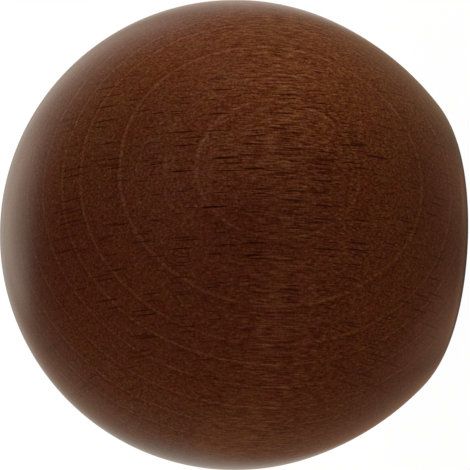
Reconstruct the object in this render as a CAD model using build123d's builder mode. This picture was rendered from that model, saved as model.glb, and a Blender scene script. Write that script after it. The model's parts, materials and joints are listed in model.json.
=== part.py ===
from build123d import *
import math
import os

# A ball turned from one piece of hardwood, with one blunt end that it stands on.
# Frame: the origin is the centre of the blunt end's flat seat, and +Z runs up the
# turning axis, through the ball's centre to its pole.

# Driving dimensions in millimetres, angles in degrees.
# Ball
ball_diameter = 60.0
# Blunt end: the flat seat, the rounded shoulder round it, and the flank above the shoulder
seat_diameter = 25.2
shoulder_radius = 9.3
shoulder_stand_out = 0.9  # how far the shoulder reaches outside the ball's own sphere
flank_easing = 7.0  # how much larger the flank's radius is than the ball's
# Blind bore in the seat, as a drill leaves it
bore_diameter = 10.0
bore_depth = 25.0  # from the seat to the end of the straight wall
bore_chamfer = 0.6
drill_point_angle = 118.0

# Centres of the profile's three arcs, as (distance from the axis, height above the seat)
ball_radius = ball_diameter / 2
flank_radius = ball_radius + flank_easing
shoulder_centre = Vector(seat_diameter / 2, shoulder_radius)
ball_to_shoulder = ball_radius - shoulder_radius + shoulder_stand_out
centre_height = shoulder_radius + math.sqrt(ball_to_shoulder**2 - shoulder_centre.X**2)
ball_centre = Vector(0, centre_height)

# The flank's arc touches the ball and the shoulder from outside, so its centre lies
# flank_easing from the ball's centre and flank_to_shoulder from the shoulder's.
flank_to_shoulder = flank_radius - shoulder_radius
turn_at_ball = math.acos(
    (flank_easing**2 + ball_to_shoulder**2 - flank_to_shoulder**2)
    / (2 * flank_easing * ball_to_shoulder)
)
shoulder_direction = math.atan2(
    shoulder_centre.Y - ball_centre.Y, shoulder_centre.X - ball_centre.X
)
flank_direction = shoulder_direction - turn_at_ball
flank_centre = ball_centre + flank_easing * Vector(
    math.cos(flank_direction), math.sin(flank_direction)
)


def angle_between(start, end):
    """Angle of the line from start to end, in degrees from the seat's plane."""
    return math.degrees(math.atan2(end.Y - start.Y, end.X - start.X))


# Where each arc passes into the next, as an angle about its centre
pole_angle = 90.0
flank_start_angle = angle_between(flank_centre, ball_centre)
shoulder_start_angle = angle_between(flank_centre, shoulder_centre)
seat_angle = -90.0

# Bore profile
bore_radius = bore_diameter / 2
drill_point_depth = bore_radius / math.tan(math.radians(drill_point_angle / 2))

os.makedirs("parts", exist_ok=True)

with BuildPart() as turned_ball:
    # Outer form: half of the section, turned about the axis
    with BuildSketch(Plane.XZ):
        with BuildLine():
            crown = CenterArc(
                ball_centre, ball_radius, pole_angle, flank_start_angle - pole_angle
            )
            flank = CenterArc(
                flank_centre,
                flank_radius,
                flank_start_angle,
                shoulder_start_angle - flank_start_angle,
            )
            shoulder = CenterArc(
                shoulder_centre,
                shoulder_radius,
                shoulder_start_angle,
                seat_angle - shoulder_start_angle,
            )
            Polyline(shoulder @ 1, (0, 0), crown @ 0)
        make_face()
    revolve(axis=Axis.Z)

    # Bore: a chamfered mouth, a straight wall and the drill's point
    with BuildSketch(Plane.XZ):
        with BuildLine():
            Polyline(
                (0, 0),
                (bore_radius + bore_chamfer, 0),
                (bore_radius, bore_chamfer),
                (bore_radius, bore_depth),
                (0, bore_depth + drill_point_depth),
                close=True,
            )
        make_face()
    revolve(axis=Axis.Z, mode=Mode.SUBTRACT)

turned_ball.part.label = "turned_ball"
export_step(turned_ball.part, "parts/turned_ball.step")
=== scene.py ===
import json
import math
from types import SimpleNamespace

import bpy
import numpy as np
from mathutils import Matrix, Vector


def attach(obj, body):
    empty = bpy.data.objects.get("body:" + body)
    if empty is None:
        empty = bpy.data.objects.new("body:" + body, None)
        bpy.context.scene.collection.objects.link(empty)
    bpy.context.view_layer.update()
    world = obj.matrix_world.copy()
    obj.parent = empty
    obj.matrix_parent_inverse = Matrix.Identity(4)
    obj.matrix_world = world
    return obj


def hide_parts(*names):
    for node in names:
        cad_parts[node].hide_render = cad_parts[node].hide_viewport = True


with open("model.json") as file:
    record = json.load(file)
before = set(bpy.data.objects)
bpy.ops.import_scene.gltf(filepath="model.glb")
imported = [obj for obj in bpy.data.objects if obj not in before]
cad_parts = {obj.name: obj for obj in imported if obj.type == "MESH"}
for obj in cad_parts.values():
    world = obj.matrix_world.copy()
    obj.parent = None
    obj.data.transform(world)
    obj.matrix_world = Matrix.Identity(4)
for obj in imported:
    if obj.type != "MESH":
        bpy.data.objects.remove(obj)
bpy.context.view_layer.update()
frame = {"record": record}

# The turned ball: one piece of beech, turned from the end of a bar, with a blunt end
# that it stands on. A blind bore is drilled up the middle of that end. The skin is one
# surface of revolution, worked out from the same arcs as the solid.
MM_PER_METRE = 1000
BALL_RADIUS = 0.030
SEAT_RADIUS = 0.0126
SHOULDER_RADIUS = 0.0093
SHOULDER_STAND_OUT = 0.0009
FLANK_EASING = 0.007
BORE_CHAMFER = 0.0006
DRILL_POINT_ANGLE = math.radians(118)
CREASE_ANGLE = math.radians(30)
# Steps round the axis, and points along each stretch of the half section
ROUND_STEPS = 400
CROWN_POINTS = 120
FLANK_POINTS = 26
SHOULDER_POINTS = 26
SEAT_POINTS = 8
CHAMFER_POINTS = 3
BORE_WALL_POINTS = 12
DRILL_TIP_POINTS = 6

seat_bore = next(
    mount for mount in frame["record"]["mounts"] if mount["name"] == "seat_bore"
)
BORE_RADIUS = seat_bore["dims"]["r_mm"] / MM_PER_METRE
BORE_DEPTH = seat_bore["dims"]["length_mm"] / MM_PER_METRE + BORE_CHAMFER

ball_to_shoulder = BALL_RADIUS - SHOULDER_RADIUS + SHOULDER_STAND_OUT
CENTRE_HEIGHT = SHOULDER_RADIUS + math.sqrt(ball_to_shoulder**2 - SEAT_RADIUS**2)


def arc(centre, radius, start, end, points):
    """Points on a circle: the centre plus the radius along angles from start to end."""
    angle = np.linspace(start, end, points)
    return np.array(centre) + radius * np.column_stack([np.cos(angle), np.sin(angle)])


def line(start, end, points):
    """Points evenly spaced from start to end."""
    share = np.linspace(0, 1, points)[:, None]
    return np.array(start) * (1 - share) + np.array(end) * share


def half_section():
    """Half of the section, as (distance from the axis, height), from the pole to the
    drill's point: the ball's arc, the flank's arc that touches it from outside, the
    shoulder's arc, the seat, the bore's chamfer, its wall and the cone at its end."""
    flank_radius = BALL_RADIUS + FLANK_EASING
    ball = np.array([0, CENTRE_HEIGHT])
    shoulder = np.array([SEAT_RADIUS, SHOULDER_RADIUS])
    flank_to_shoulder = flank_radius - SHOULDER_RADIUS
    turn = math.acos(
        (FLANK_EASING**2 + ball_to_shoulder**2 - flank_to_shoulder**2)
        / (2 * FLANK_EASING * ball_to_shoulder)
    )
    direction = math.atan2(*(shoulder - ball)[::-1]) - turn
    flank = ball + FLANK_EASING * np.array([math.cos(direction), math.sin(direction)])
    flank_start = math.atan2(*(ball - flank)[::-1])
    flank_end = math.atan2(*(shoulder - flank)[::-1])
    tip_height = BORE_DEPTH + BORE_RADIUS / math.tan(DRILL_POINT_ANGLE / 2)
    mouth = (BORE_RADIUS + BORE_CHAMFER, 0)
    wall_start = (BORE_RADIUS, BORE_CHAMFER)
    wall_end = (BORE_RADIUS, BORE_DEPTH)
    stretches = [
        arc(ball, BALL_RADIUS, math.pi / 2, flank_start, CROWN_POINTS),
        arc(flank, flank_radius, flank_start, flank_end, FLANK_POINTS),
        arc(shoulder, SHOULDER_RADIUS, flank_end, -math.pi / 2, SHOULDER_POINTS),
        line((SEAT_RADIUS, 0), mouth, SEAT_POINTS),
        line(mouth, wall_start, CHAMFER_POINTS),
        line(wall_start, wall_end, BORE_WALL_POINTS),
        line(wall_end, (0, tip_height), DRILL_TIP_POINTS),
    ]
    return np.vstack([stretches[0]] + [stretch[1:] for stretch in stretches[1:]])


def turned_mesh(name, profile, steps):
    """Surface of revolution: (u, t) goes to (distance(t) cos u, distance(t) sin u,
    height(t)). The profile starts and ends on the axis, so each end is one vertex."""
    turn = np.arange(steps) * 2 * math.pi / steps
    distance, height = profile[1:-1, 0], profile[1:-1, 1]
    rings = np.stack(
        [
            np.outer(distance, np.cos(turn)),
            np.outer(distance, np.sin(turn)),
            np.outer(height, np.ones(steps)),
        ],
        axis=-1,
    )
    ends = np.array([[0, 0, profile[0, 1]], [0, 0, profile[-1, 1]]])
    points = np.vstack([rings.reshape(-1, 3), ends])

    index = np.arange(len(distance) * steps).reshape(len(distance), steps)
    after = np.roll(index, -1, axis=1)
    pole, tip = len(points) - 2, len(points) - 1
    quads = np.stack([index[:-1], index[1:], after[1:], after[:-1]], axis=-1)
    first = np.stack([np.full(steps, pole), index[0], after[0]], axis=-1)
    last = np.stack([np.full(steps, tip), after[-1], index[-1]], axis=-1)
    faces = quads.reshape(-1, 4).tolist() + first.tolist() + last.tolist()

    mesh = bpy.data.meshes.new(name)
    mesh.from_pydata(points.tolist(), [], faces)
    mesh.validate()
    mesh.shade_smooth()
    mesh.set_sharp_from_angle(angle=CREASE_ANGLE)
    return mesh


ball_skin = bpy.data.objects.new(
    "ball_skin", turned_mesh("ball_skin", half_section(), ROUND_STEPS)
)
bpy.context.scene.collection.objects.link(ball_skin)

# The beech itself, as it runs through the solid: fibres that lean a few degrees off the
# turning axis, growth rings curved about a pith that lay outside the blank, and rays,
# thin plates that stand on end along the fibres and point nearly at the pith.
FIBRE_DIRECTION = Vector((0.0200, -0.0731, -0.9971)).normalized()
PITH_BEARING = Vector((0.302, -0.950, 0.076))
# Square to the rays' flat faces
RAY_FACE = Vector((0.9690, 0.2467, 0.0014))
# Lengths in the wood are in mm. A pair of values is where a change starts and ends.
PITH_DISTANCE = 105.0
WANDER_LENGTH = 30.0
WANDER_WIDTH = 14.0
RING_WANDER = 0.9
FIBRE_WANDER = 0.5
FIBRE_WANDER_SCALE = 0.7


class Signal:
    """A socket of the material being made. Python's operators on it add Math nodes."""

    tree = None

    def __init__(self, socket):
        self.socket = socket

    @classmethod
    def node(cls, kind, settings=None, inputs=None):
        """Adds a node of that type, sets its settings, then its inputs' values or links."""
        made = cls.tree.nodes.new(kind)
        for name, value in (settings or {}).items():
            setattr(made, name, value)
        for name, value in (inputs or {}).items():
            if isinstance(value, Signal):
                cls.tree.links.new(value.socket, made.inputs[name])
            else:
                made.inputs[name].default_value = value
        return made

    @classmethod
    def math(cls, operation, *values, clamp=False):
        """A Math node's result for signals or numbers."""
        settings = {"operation": operation, "use_clamp": clamp}
        made = cls.node("ShaderNodeMath", settings, dict(enumerate(values)))
        return cls(made.outputs[0])

    def __add__(self, other):
        return self.math("ADD", self, other)

    __radd__ = __add__

    def __sub__(self, other):
        return self.math("SUBTRACT", self, other)

    def __rsub__(self, other):
        return self.math("SUBTRACT", other, self)

    def __mul__(self, other):
        return self.math("MULTIPLY", self, other)

    __rmul__ = __mul__

    def __truediv__(self, other):
        return self.math("DIVIDE", self, other)

    def __rtruediv__(self, other):
        return self.math("DIVIDE", other, self)

    def __pow__(self, other):
        return self.math("POWER", self, other)

    def __rpow__(self, other):
        return self.math("POWER", other, self)

    def __neg__(self):
        return self.math("MULTIPLY", self, -1.0)


def dot(arrow, direction):
    """How far the arrow, a place or a gaze, reaches along a fixed direction."""
    settings = {"operation": "DOT_PRODUCT"}
    made = Signal.node("ShaderNodeVectorMath", settings, {0: arrow, 1: direction})
    return Signal(made.outputs["Value"])


def vector(x, y, z):
    """Three signals or numbers as one vector."""
    made = Signal.node("ShaderNodeCombineXYZ", inputs={"X": x, "Y": y, "Z": z})
    return Signal(made.outputs[0])


def ramp_between(value, start, end, smooth=True):
    """0 at the start and before it, 1 at the end and past it, smooth or even between."""
    settings = {"interpolation_type": "SMOOTHSTEP" if smooth else "LINEAR"}
    inputs = {"Value": value, "From Min": start, "From Max": end}
    made = Signal.node("ShaderNodeMapRange", settings, inputs)
    return Signal(made.outputs["Result"])


def noise(place, scale=1.0, detail=0.0, roughness=0.5):
    """Smooth noise about 0, from about -0.5 to 0.5."""
    inputs = {
        "Vector": place,
        "Scale": scale,
        "Detail": detail,
        "Roughness": roughness,
    }
    made = Signal.node("ShaderNodeTexNoise", {"noise_dimensions": "3D"}, inputs)
    return Signal(made.outputs[0]) - 0.5


def place_in_wood():
    """Where a point of the skin lies in the wood. Its place is in metres from the ball's
    centre. The rest is in mm: along the fibres, across the rays' faces, and, about the
    pith, its distance, its bearing as an arc's length, and its depth towards the pith
    from the ball's centre. Its sway is noise, by which the wood wanders there."""
    coordinates = Signal.node("ShaderNodeTexCoord")
    from_centre = Signal.node(
        "ShaderNodeVectorMath",
        {"operation": "SUBTRACT"},
        {0: Signal(coordinates.outputs["Object"]), 1: (0, 0, CENTRE_HEIGHT)},
    )
    place = Signal(from_centre.outputs[0])
    to_pith = (PITH_BEARING - PITH_BEARING.project(FIBRE_DIRECTION)).normalized()
    along = dot(place, FIBRE_DIRECTION * MM_PER_METRE)
    inward = dot(place, to_pith * MM_PER_METRE)
    across = dot(place, to_pith.cross(FIBRE_DIRECTION) * MM_PER_METRE)

    # The fibres wander a little, and the rings with them
    wander = vector(along / WANDER_LENGTH, inward / WANDER_WIDTH, across / WANDER_WIDTH)
    sway = noise(wander)
    inward = inward + sway * RING_WANDER
    across = across + noise(wander, FIBRE_WANDER_SCALE) * FIBRE_WANDER

    # Polar coordinates about the pith
    short_of_pith = PITH_DISTANCE - inward
    pith_radius = Signal.math("SQRT", short_of_pith**2 + across**2)
    return SimpleNamespace(
        place=place,
        along=along,
        across_rays=dot(place, RAY_FACE * MM_PER_METRE),
        pith_radius=pith_radius,
        bearing=Signal.math("ARCTAN2", across, short_of_pith) * PITH_DISTANCE,
        depth=PITH_DISTANCE - pith_radius,
        sway=sway,
    )


# Growth rings: on the side of each boundary that is away from the pith, the year starts
# with darker early wood, and the boundary is a thin pale line in a slightly darker band.
# The depths are the boundaries', from the ball's centre towards the pith.
RING_DEPTHS = [
    33.1, 28.1, 22.95, 18.75, 16.3, 13.1, 9.7, 6.2, 2.7,
    -0.9, -4.9, -8.1, -12.3, -16.0, -18.9, -23.0, -26.8, -31.0,
]
BEYOND_ALL_RINGS = 99.0
EARLY_WOOD_SHARE = 0.35
BAND_EDGE = (0.3, 1.3)
LINE_EDGE = (0.05, 0.22)
# Where the skin comes to run along a ring, the line is thinner and fainter
CUT_ALONG = (24.0, 28.0)
LINE_THINNING = 0.45
LINE_FADING = 0.2


def growth_rings(depth):
    """Signals from 0 to 1 for the early wood, the darker bands and the pale lines."""
    # A whole number at each boundary, rising away from the pith
    year = 0
    for start, end in zip(RING_DEPTHS, RING_DEPTHS[1:]):
        year = year + ramp_between(depth, start, end, smooth=False)
    season = Signal.math("FRACT", year)
    early_wood = 1 - ramp_between(season, 0.0, EARLY_WOOD_SHARE)

    to_ring = BEYOND_ALL_RINGS
    for ring_depth in RING_DEPTHS:
        offset = Signal.math("ABSOLUTE", depth - ring_depth)
        to_ring = Signal.math("MINIMUM", offset, to_ring)
    band = 1 - ramp_between(to_ring, *BAND_EDGE)
    cut_along = ramp_between(depth, *CUT_ALONG)
    line_width = 1 - LINE_THINNING * cut_along
    pale_line = 1 - ramp_between(to_ring / line_width, *LINE_EDGE)
    return early_wood, band, pale_line * (1 - LINE_FADING * cut_along)


# Rays stand in some cells of a lattice, stretched along the fibres and still more towards
# the pith. Close to the seat they stand apart, in every third row of cells, and each next
# cell along the fibres starts one row farther on.
RAY_CELL_LENGTH = 4.2
RAY_CELL_DEPTH = 14.0
RAY_CELL_WIDTH = 0.28
RAY_SHARE = 0.52
# What the share of cells that hold a ray gains towards the seat
RAY_SHARE_GAIN = 0.2
RAY_SHARE_EDGE = (2.0, 10.0)
SEAT_RAY_SHARE = 0.8
CLOSE_TO_SEAT = (14.0, 21.0)
ROWS_APART = 3
# In widths of a cell
RAY_WANDER = 0.8
# As shares of a cell: a ray's least reach from the cell's point, and what it may gain
RAY_REACH = 0.22
RAY_REACH_GAIN = 0.25
RAY_EDGE = (0.6, 1.0)
# How dark a ray is at least, and what it may gain
RAY_STRENGTH = 0.55
RAY_STRENGTH_GAIN = 0.45
# Rays fade out towards the pole and on the -X side, and fade in part on the +X side
RAYS_ALONG = (-36.0, -14.0)
RAYS_ACROSS = (-34.0, -8.0)
RAY_FADING_ACROSS = (10.0, 19.0)
RAY_FADING = 0.8


def ray_flecks(wood):
    """How strongly a ray shows, from 0 to 1: flat thin ellipsoids, each about the point
    of a cell of the lattice."""
    ray_inward = RAY_FACE.cross(FIBRE_DIRECTION).normalized()
    lattice = vector(
        dot(wood.place, FIBRE_DIRECTION * MM_PER_METRE / RAY_CELL_LENGTH),
        dot(wood.place, ray_inward * MM_PER_METRE / RAY_CELL_DEPTH),
        dot(wood.place, RAY_FACE * MM_PER_METRE / RAY_CELL_WIDTH) + wood.sway * RAY_WANDER,
    )
    cells = Signal.node("ShaderNodeTexVoronoi", inputs={"Vector": lattice, "Scale": 1.0})
    lots = Signal.node(
        "ShaderNodeSeparateColor", inputs={0: Signal(cells.outputs["Color"])}
    )
    share_lot, reach_lot, strength_lot = (Signal(lot) for lot in lots.outputs)
    point = Signal.node(
        "ShaderNodeSeparateXYZ", inputs={0: Signal(cells.outputs["Position"])}
    )
    point_along, _, point_across = (Signal(part) for part in point.outputs)

    # A row's number over the rows apart leaves a fraction of 0, 1/3 or 2/3. The added
    # tenth keeps that clear of rounding, and the limit lies between the first two.
    row = Signal.math("FLOOR", point_across) + Signal.math("FLOOR", point_along)
    remainder = Signal.math("FRACT", row / ROWS_APART + 0.1)
    chosen_row = Signal.math("LESS_THAN", remainder, 0.3)
    ray_share = RAY_SHARE + RAY_SHARE_GAIN * ramp_between(wood.along, *RAY_SHARE_EDGE)
    close_to_seat = ramp_between(wood.along, *CLOSE_TO_SEAT)
    ray_share = ray_share + (chosen_row * SEAT_RAY_SHARE - ray_share) * close_to_seat
    chosen = Signal.math("LESS_THAN", share_lot, ray_share)

    showing = ramp_between(wood.along, *RAYS_ALONG)
    showing = showing * ramp_between(wood.across_rays, *RAYS_ACROSS)
    faded = RAY_FADING * ramp_between(wood.across_rays, *RAY_FADING_ACROSS)
    strength = chosen * (RAY_STRENGTH + RAY_STRENGTH_GAIN * strength_lot)
    strength = strength * showing * (1 - faded)
    reach = RAY_REACH + RAY_REACH_GAIN * reach_lot
    share_of_reach = Signal(cells.outputs["Distance"]) / reach
    return strength * (1 - ramp_between(share_of_reach, *RAY_EDGE))


# A few tiny pale specks lie in the wood, one in some of the cells of a finer lattice
SPECK_CELL_SIZE = 1.6
SPECK_SHARE = 0.15
# As shares of a cell
SPECK_EDGE = (0.05, 0.10)


def pale_specks(place):
    """1 at the middle of a speck and 0 outside the specks."""
    cells = Signal.node(
        "ShaderNodeTexVoronoi",
        inputs={"Vector": place, "Scale": MM_PER_METRE / SPECK_CELL_SIZE},
    )
    lots = Signal.node(
        "ShaderNodeSeparateColor", inputs={0: Signal(cells.outputs["Color"])}
    )
    chosen = Signal.math("LESS_THAN", Signal(lots.outputs[0]), SPECK_SHARE)
    speck = 1 - ramp_between(Signal(cells.outputs["Distance"]), *SPECK_EDGE)
    return speck * chosen


# The finish: a dark red-brown stain, which the open ends of the fibres drink more of
# than their sides do, under a satin varnish. The sides show as a paler, streaky girdle
# round the ball, square to the fibres and wider towards the seat. The girdle is partly
# that lighter stain and partly painted sheen: the fibres' satin sheen, painted into the
# colour as paler wood and stronger streaks.
GIRDLE_WIDTH = 5.8
GIRDLE_WIDENING = 5.5
GIRDLE_WIDENING_EDGE = (0.0, 8.0)


def side_grain_and_painted_sheen(along):
    """The girdle of side grain and painted sheen, as exp(-(along / width)^2), so 1 at
    its middle and 0 far from it.
    """
    width = GIRDLE_WIDTH + GIRDLE_WIDENING * ramp_between(along, *GIRDLE_WIDENING_EDGE)
    return Signal.math("EXPONENT", -((along / width) ** 2))


# The grain is long thin fibres, in bundles, under a fine speckle with no direction
FIBRE_LENGTH = 1.65
FIBRE_WIDTH = 0.20
BUNDLE_LENGTH = 2.4
BUNDLE_WIDTH = 0.8
SPECKLE_SIZE = 0.27
# How much each shows in the stain, and what the girdle adds, partly as painted sheen
FIBRE_CONTRAST = 1.05
GIRDLE_FIBRE_CONTRAST = 1.35
BUNDLE_CONTRAST = 0.3
GIRDLE_BUNDLE_CONTRAST = 0.2
SPECKLE_CONTRAST = 1.45
# All of it shows less towards the pole, and on the -X and the +X side
POLE_CONTRAST = 0.86
POLE_EDGE = (-4.0, 10.0)
SIDE_CONTRAST = 0.9
MINUS_X_EDGE = (-14.0, 0.0)
PLUS_X_EDGE = (8.0, 18.0)


def fibre_noise(wood, length, width, detail=0.0):
    """Noise in long thin grains that follow the fibres."""
    shrunk = vector(wood.along / length, wood.pith_radius / width, wood.bearing / width)
    return noise(shrunk, detail=detail)


def streaks_and_speckle(wood, fibres, girdle):
    """How much paler or darker the grain is in each place than the wood on average. The
    girdle's stronger streaks are partly painted sheen.
    """
    bundles = fibre_noise(wood, BUNDLE_LENGTH, BUNDLE_WIDTH, detail=1.0)
    speckle = noise(wood.place, MM_PER_METRE / SPECKLE_SIZE)
    grain = (
        fibres * (FIBRE_CONTRAST + GIRDLE_FIBRE_CONTRAST * girdle)
        + speckle * SPECKLE_CONTRAST
        + bundles * (BUNDLE_CONTRAST + GIRDLE_BUNDLE_CONTRAST * girdle)
    )
    off_pole = ramp_between(wood.along, *POLE_EDGE)
    between_sides = ramp_between(wood.across_rays, *MINUS_X_EDGE)
    between_sides = between_sides - ramp_between(wood.across_rays, *PLUS_X_EDGE)
    contrast = POLE_CONTRAST + (1 - POLE_CONTRAST) * off_pole
    contrast = contrast * (SIDE_CONTRAST + (1 - SIDE_CONTRAST) * between_sides)
    return grain * contrast


# The Mix node's sockets where it mixes colours
MIX_SHARE = 0
MIX_LOW = 6
MIX_HIGH = 7
MIX_RESULT = 2


def mix_colour(share, low, high):
    """The colour low where share is 0 and high where it is 1."""
    settings = {"data_type": "RGBA"}
    inputs = {MIX_SHARE: share}
    inputs[MIX_LOW] = (*low, 1) if isinstance(low, tuple) else low
    inputs[MIX_HIGH] = (*high, 1) if isinstance(high, tuple) else high
    made = Signal.node("ShaderNodeMix", settings, inputs)
    return Signal(made.outputs[MIX_RESULT])


def stain_through(colour, tint):
    """The colour multiplied by the tint."""
    settings = {"data_type": "RGBA", "blend_type": "MULTIPLY"}
    inputs = {MIX_SHARE: 1.0, MIX_LOW: colour, MIX_HIGH: tint}
    made = Signal.node("ShaderNodeMix", settings, inputs)
    return Signal(made.outputs[MIX_RESULT])


# The stain's hue differs in small patches, each about a millimetre or two wide
RED_PATCH = (1.03, 0.87, 1.0)
OLIVE_PATCH = (0.98, 1.13, 1.0)
RED_PATCH_SIZE = 1.8
MAUVE_PATCH = (0.99, 1.0, 1.40)
ORANGE_PATCH = (1.01, 1.0, 0.60)
MAUVE_PATCH_SIZE = 1.3
HUE_CONTRAST = 1.5


def hue_patches(stain, place):
    """The stain, redder or more olive, and more mauve or orange, in small patches."""
    red = noise(place, MM_PER_METRE / RED_PATCH_SIZE, detail=1.0)
    mauve = noise(place, MM_PER_METRE / MAUVE_PATCH_SIZE, detail=2.0, roughness=0.6)
    for patch, low, high in (
        (red, OLIVE_PATCH, RED_PATCH),
        (mauve, ORANGE_PATCH, MAUVE_PATCH),
    ):
        stain = stain_through(stain, mix_colour(0.5 + patch * HUE_CONTRAST, low, high))
    return stain


# The colour differs over the ball: it is bluer on the pole's end grain, yellower near
# the seat, and paler or deeper in a few broad patches
POLE_TINT = (1.01, 1.05, 1.22)
SEAT_TINT = (1.03, 0.96, 0.67)
POLE_TO_SEAT = (-16.0, 14.0)
# Each patch's place from the ball's centre, its reach, both in mm, and its tint
UNEVEN_TINT_PATCHES = [
    ((8.4, -26.8, 10.7), 8.5, (1.15, 1.31, 1.66)),
    ((11.2, -16.7, 22.3), 9.0, (0.86, 0.93, 0.93)),
    ((18.5, -23.6, 0.7), 7.5, (1.16, 1.23, 1.28)),
    ((-18.5, -22.4, -7.6), 9.5, (0.92, 0.80, 0.70)),
    ((21.3, -19.7, 7.6), 5.5, (0.93, 0.87, 0.74)),
    ((10.2, -22.3, -17.3), 6.5, (0.90, 0.84, 0.84)),
    ((-5.8, -23.0, 18.4), 7.0, (1.08, 1.15, 1.10)),
    ((2.5, -29.3, 6.0), 4.4, (0.84, 0.74, 0.72)),
    ((6.6, -29.1, -2.8), 4.5, (0.93, 0.86, 0.86)),
    ((14.3, -20.3, 16.8), 5.0, (0.92, 0.88, 0.90)),
    ((-19.3, -13.7, 18.4), 6.5, (1.05, 1.14, 1.26)),
]
NO_TINT = (1.0, 1.0, 1.0)


def uneven_tints(stain, wood):
    """The stain, tinted from the pole to the seat and then by each broad patch, which
    eases off from its middle as exp(-(distance / reach)^2)."""
    seatward = ramp_between(wood.along, *POLE_TO_SEAT)
    stain = stain_through(stain, mix_colour(seatward, POLE_TINT, SEAT_TINT))
    for centre, reach, tint in UNEVEN_TINT_PATCHES:
        offset = Signal.node(
            "ShaderNodeVectorMath",
            {"operation": "DISTANCE"},
            {0: wood.place, 1: Vector(centre) / MM_PER_METRE},
        )
        share_of_reach = Signal(offset.outputs["Value"]) * (MM_PER_METRE / reach)
        nearness = Signal.math("EXPONENT", -(share_of_reach**2))
        stain = stain_through(stain, mix_colour(nearness, NO_TINT, tint))
    return stain


# How much paler each thing makes the wood, in doublings
# The girdle's paleness is partly painted sheen
GIRDLE_PALENESS = 0.02
EARLY_WOOD_PALENESS = -0.08
BAND_PALENESS = -0.05
LINE_PALENESS = 0.38
# How thin the stain lies: 0 is deep, the mean share has its mean colour, and 1 is thin
THINNESS_SCALE = 0.82
THINNESS_LOSS = 0.455
MEAN_SHARE = 0.38
DEEP_STAIN = (0.045, 0.0015, 0.0)
MEAN_STAIN = (0.100, 0.0213, 0.0057)
THIN_STAIN = (0.190, 0.0640, 0.0270)
# Rays soak up more stain, and are darker themselves
RAY_SOAKING = 0.9
RAY_DARKENING = 0.6
RAY_COLOUR = (0.0, 0.0, 0.0)
VARNISH_IOR = 1.2
VARNISH_ROUGHNESS = 0.22
# The grain's relief under the varnish, in metres, and what each thing gives to it
RELIEF_HEIGHT = 0.00003
RELIEF_STRENGTH = 0.25
FIBRE_RELIEF = 0.6
RAY_RELIEF = -0.25
LINE_RELIEF = 0.3


def stained_beech(name):
    """The material, all through the solid, on object coordinates."""
    material = bpy.data.materials.new(name)
    material.use_nodes = True
    material.node_tree.nodes.clear()
    Signal.tree = material.node_tree

    wood = place_in_wood()
    early_wood, band, pale_line = growth_rings(wood.depth)
    rays = ray_flecks(wood)
    # The girdle is side grain and painted sheen
    girdle = side_grain_and_painted_sheen(wood.along)
    fibres = fibre_noise(wood, FIBRE_LENGTH, FIBRE_WIDTH)
    paleness = (
        GIRDLE_PALENESS * girdle
        + EARLY_WOOD_PALENESS * early_wood
        + BAND_PALENESS * band
        + LINE_PALENESS * pale_line
        + streaks_and_speckle(wood, fibres, girdle)
        + pale_specks(wood.place)
    )

    thinness = THINNESS_SCALE * 2.0**paleness - THINNESS_LOSS
    thinness = thinness * (1 - RAY_SOAKING * rays)
    below_mean = ramp_between(thinness, 0.0, MEAN_SHARE, smooth=False)
    above_mean = ramp_between(thinness, MEAN_SHARE, 1.0, smooth=False)
    stain = mix_colour(below_mean, DEEP_STAIN, MEAN_STAIN)
    stain = mix_colour(above_mean, stain, THIN_STAIN)
    stain = mix_colour(rays * RAY_DARKENING, stain, RAY_COLOUR)
    stain = uneven_tints(hue_patches(stain, wood.place), wood)

    height = fibres * FIBRE_RELIEF + rays * RAY_RELIEF + pale_line * LINE_RELIEF
    relief = Signal.node(
        "ShaderNodeBump",
        inputs={
            "Strength": RELIEF_STRENGTH,
            "Distance": RELIEF_HEIGHT,
            "Height": height,
        },
    )
    shader = Signal.node(
        "ShaderNodeBsdfPrincipled",
        inputs={
            "Base Color": stain,
            "Roughness": VARNISH_ROUGHNESS,
            "IOR": VARNISH_IOR,
            "Normal": Signal(relief.outputs[0]),
        },
    )
    Signal.node(
        "ShaderNodeOutputMaterial", inputs={"Surface": Signal(shader.outputs[0])}
    )
    return material


ball_skin.data.materials.append(stained_beech("stained_beech"))
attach(ball_skin, "root")
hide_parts("turned_ball")

# The floor is a plain matt white sheet, which lies a hair below the seat, so that the two
# flat faces never coincide. It keeps the ball's shadow. The camera sees it nearly white.
# The varnish sees painted light and shade on it, which glow as the floor's own light:
# painted colours that differ round the ball, a painted pool of light in front and painted
# shade under the seat's edge.
FLOOR_HALF_SIDE = 3.0
FLOOR_BELOW_SEAT = 0.00002
FLOOR_ALBEDO = 0.8
FLOOR_WHITE = (1.02, 1.02, 1.02)
FLOOR_WHITE_SHARE = 0.96
# Seen from the camera's side, +X is to the right of the upright ball and +Y is behind it.
# A pair is where a change starts and ends: LEFT_TO_RIGHT and BESIDE_TO_BEHIND as cosines
# of the bearing from the ball, and the others in metres.
# The painted light and shade that the varnish mirrors on each side of the ball
MIRRORED_LEFT = (0.52, 0.32, 0.21)
MIRRORED_RIGHT = (0.44, 0.34, 0.23)
LEFT_TO_RIGHT = (-0.4, 0.4)
MIRRORED_BEHIND = (0.86, 0.80, 0.69)
BESIDE_TO_BEHIND = (0.5, 0.8)
MIRRORED_FAR_LEFT = (0.80, 0.44, 0.24)
FAR_LEFT_TO_LEFT = (-0.14, -0.08)
MIRRORED_FAR_BEHIND = (0.68, 0.64, 0.55)
BEHIND_TO_FAR_BEHIND = (0.15, 0.5)
# A painted pool of light lies just in front, wider than it is deep and weaker in its middle
PAINTED_LIGHT_IN_FRONT = (1.13, 0.66, 0.42)
PATCH_CENTRE = (-0.004, -0.0165)
PATCH_STRETCH = 3.2
PATCH_EDGE = (0.002, 0.008)
PATCH_MIDDLE = -0.0005
PATCH_MIDDLE_EDGE = (0.001, 0.008)
PATCH_MIDDLE_SHARE = 0.5
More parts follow.
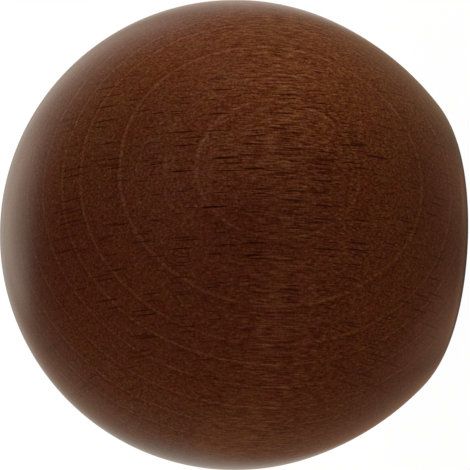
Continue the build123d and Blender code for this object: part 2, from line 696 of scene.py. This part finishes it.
# Painted shade under the seat's edge
PAINTED_SHADE_AT_SEAT = (0.12, 0.09, 0.07)
PAINTED_SHADE_EDGE = (0.0150, 0.0175)


def seen_directly():
    """Signals that are 1 for a ray from the camera, and for a mirrored or clear ray."""
    path = Signal.node("ShaderNodeLightPath")
    camera = Signal(path.outputs["Is Camera Ray"])
    glossy = Signal(path.outputs["Is Glossy Ray"])
    clear = Signal(path.outputs["Is Transmission Ray"])
    return camera, Signal.math("ADD", glossy, clear, clamp=True)


def painted_floor_reflection(place):
    """Painted light and shade on the floor, as the varnish mirrors it, by where it lies
    from the ball.
    """
    rightward, backward = dot(place, (1, 0, 0)), dot(place, (0, 1, 0))
    distance = Signal.math("SQRT", rightward**2 + backward**2)
    far_left = ramp_between(rightward, *FAR_LEFT_TO_LEFT)
    left = mix_colour(far_left, MIRRORED_FAR_LEFT, MIRRORED_LEFT)
    to_right = ramp_between(rightward / distance, *LEFT_TO_RIGHT)
    beside = mix_colour(to_right, left, MIRRORED_RIGHT)
    far_behind = ramp_between(distance, *BEHIND_TO_FAR_BEHIND)
    behind = mix_colour(far_behind, MIRRORED_BEHIND, MIRRORED_FAR_BEHIND)
    to_behind = ramp_between(backward / distance, *BESIDE_TO_BEHIND)
    colour = mix_colour(to_behind, beside, behind)

    patch_right = (rightward - PATCH_CENTRE[0]) / PATCH_STRETCH
    patch_back = backward - PATCH_CENTRE[1]
    from_patch = Signal.math("SQRT", patch_right**2 + patch_back**2)
    off_middle = Signal.math("ABSOLUTE", rightward - PATCH_MIDDLE)
    outer_share = (1 - PATCH_MIDDLE_SHARE) * ramp_between(off_middle, *PATCH_MIDDLE_EDGE)
    brightness = PATCH_MIDDLE_SHARE + outer_share
    # A painted pool of light on the floor, seen only in the varnish
    painted_light = (1 - ramp_between(from_patch, *PATCH_EDGE)) * brightness
    colour = mix_colour(painted_light, colour, PAINTED_LIGHT_IN_FRONT)
    # Painted shade under the seat's edge, seen only in the varnish
    off_seat = ramp_between(distance, *PAINTED_SHADE_EDGE)
    return mix_colour(off_seat, PAINTED_SHADE_AT_SEAT, colour)


def white_paper(name):
    """A matt white, mixed with its own light for rays that see it directly: white for the
    camera, and painted light and shade for mirrored and clear rays.
    """
    material = bpy.data.materials.new(name)
    material.use_nodes = True
    material.node_tree.nodes.clear()
    Signal.tree = material.node_tree
    camera, mirrored = seen_directly()
    albedo = (FLOOR_ALBEDO, FLOOR_ALBEDO, FLOOR_ALBEDO, 1)
    matt = Signal.node("ShaderNodeBsdfDiffuse", inputs={"Color": albedo})
    place = Signal(Signal.node("ShaderNodeTexCoord").outputs["Object"])
    # Mirrored and clear rays see the painted light and shade glow from the floor
    seen = mix_colour(mirrored, FLOOR_WHITE, painted_floor_reflection(place))
    white = Signal.node("ShaderNodeEmission", inputs={"Color": seen, "Strength": 1.0})
    share = camera * FLOOR_WHITE_SHARE + mirrored
    inputs = {0: share, 1: Signal(matt.outputs[0]), 2: Signal(white.outputs[0])}
    mixed = Signal.node("ShaderNodeMixShader", inputs=inputs)
    Signal.node(
        "ShaderNodeOutputMaterial", inputs={"Surface": Signal(mixed.outputs[0])}
    )
    return material


floor_mesh = bpy.data.meshes.new("floor")
floor_corners = np.array([[-1, -1, 0], [1, -1, 0], [1, 1, 0], [-1, 1, 0]])
floor_mesh.from_pydata((floor_corners * FLOOR_HALF_SIDE).tolist(), [], [(0, 1, 2, 3)])
floor = bpy.data.objects.new("floor", floor_mesh)
floor.location.z = -FLOOR_BELOW_SEAT
floor.data.materials.append(white_paper("white_paper"))
bpy.context.scene.collection.objects.link(floor)

# The room gives an even warm fill. The varnish sees a dim room in front of the ball and a
# bright wall behind it. The wall has a window, is dimmer towards -X and is brighter at
# its foot. A pair is where a change starts and ends, as the cosine of an angle.
FILL = (0.50, 0.40, 0.37)
ROOM = (0.12, 0.10, 0.07)
BACKDROP = (1.0, 1.0, 1.0)
DIM_WALL = (0.43, 0.38, 0.28)
DIM_WALL_FOOT = (0.64, 0.47, 0.35)
LIT_WALL = (0.94, 0.85, 0.68)
LIT_WALL_FOOT = (1.04, 0.95, 0.82)
ROOM_TO_WALL = (0.4, 0.8)
DIM_TO_LIT = (-0.3, 0.0)
FOOT_TO_TOP = (0.15, 0.4)
WINDOW = (1.80, 1.52, 1.23)
WINDOW_BEARING = Vector((0.01, 0.875, 0.483)).normalized()
WINDOW_EDGE = (0.94, 0.985)

world = bpy.data.worlds.new("studio")
world.use_nodes = True
world.node_tree.nodes.clear()
Signal.tree = world.node_tree
camera, mirrored = seen_directly()
gaze = Signal(Signal.node("ShaderNodeTexCoord").outputs["Generated"])
lit = ramp_between(dot(gaze, (1, 0, 0)), *DIM_TO_LIT)
wall = mix_colour(
    ramp_between(dot(gaze, (0, 0, 1)), *FOOT_TO_TOP),
    mix_colour(lit, DIM_WALL_FOOT, LIT_WALL_FOOT),
    mix_colour(lit, DIM_WALL, LIT_WALL),
)
wall = mix_colour(ramp_between(dot(gaze, WINDOW_BEARING), *WINDOW_EDGE), wall, WINDOW)
studio = mix_colour(ramp_between(dot(gaze, (0, 1, 0)), *ROOM_TO_WALL), ROOM, wall)
sky_colour = mix_colour(camera, mix_colour(mirrored, FILL, studio), BACKDROP)
sky = Signal.node("ShaderNodeBackground", inputs={"Color": sky_colour, "Strength": 1.0})
Signal.node("ShaderNodeOutputWorld", inputs={"Surface": Signal(sky.outputs[0])})
bpy.context.scene.world = world

# Two large soft lamps stand low beside the ball and a little behind it, both tinted a
# cool green: a strong one on the +X side, and a weaker one on the -X side.
LAMP_DISTANCE = 1.1
LAMP_WIDTH = 1.0
LAMP_HEIGHT = 0.35
# Each one's name, bearing from the ball, power and tint
LAMPS = [
    ("main_lamp", Vector((0.954, 0.196, 0.134)), 17.2, (0.72, 1.0, 0.92)),
    ("side_lamp", Vector((-0.80, 0.55, 0.13)), 8.4, (0.64, 1.0, 0.9)),
]

ball_centre = Vector((0, 0, CENTRE_HEIGHT))
for name, bearing, power, tint in LAMPS:
    lamp_data = bpy.data.lights.new(name, "AREA")
    lamp_data.shape = "RECTANGLE"
    lamp_data.size = LAMP_WIDTH
    lamp_data.size_y = LAMP_HEIGHT
    lamp_data.energy = power
    lamp_data.color = tint
    lamp = bpy.data.objects.new(name, lamp_data)
    lamp.location = ball_centre + bearing.normalized() * LAMP_DISTANCE
    lamp.rotation_euler = bearing.to_track_quat("Z", "Y").to_euler()
    lamp.visible_camera = False
    lamp.visible_glossy = False
    bpy.context.scene.collection.objects.link(lamp)

# The camera looks down on the ball by 15 degrees and is turned on its side, so that the
# seat lies to the right. A long lens makes the ball's outline fill the frame.
CAMERA_ELEVATION = math.radians(15)
CAMERA_DISTANCE = 1.0
AXIS_DROOP = math.radians(3.14)
OUTLINE_RADIUS_PIXELS = 235.13
HALF_FRAME_PIXELS = 235

to_camera = Vector((0, -math.cos(CAMERA_ELEVATION), math.sin(CAMERA_ELEVATION)))
seat_way = Vector((0, -math.sin(CAMERA_ELEVATION), -math.cos(CAMERA_ELEVATION)))
side_way = Vector((1, 0, 0))
right = seat_way * math.cos(AXIS_DROOP) + side_way * math.sin(AXIS_DROOP)
up = side_way * math.cos(AXIS_DROOP) - seat_way * math.sin(AXIS_DROOP)

camera_data = bpy.data.cameras.new("camera")
outline_slope = math.tan(math.asin(BALL_RADIUS / CAMERA_DISTANCE))
share_of_frame = OUTLINE_RADIUS_PIXELS / HALF_FRAME_PIXELS
camera_data.lens = camera_data.sensor_width / 2 * share_of_frame / outline_slope
camera_object = bpy.data.objects.new("camera", camera_data)
camera_turn = Matrix((right, up, to_camera)).transposed().to_4x4()
camera_place = Matrix.Translation(ball_centre + to_camera * CAMERA_DISTANCE)
camera_object.matrix_world = camera_place @ camera_turn
bpy.context.scene.collection.objects.link(camera_object)
bpy.context.scene.camera = camera_object
bpy.context.scene.view_settings.view_transform = "Standard"
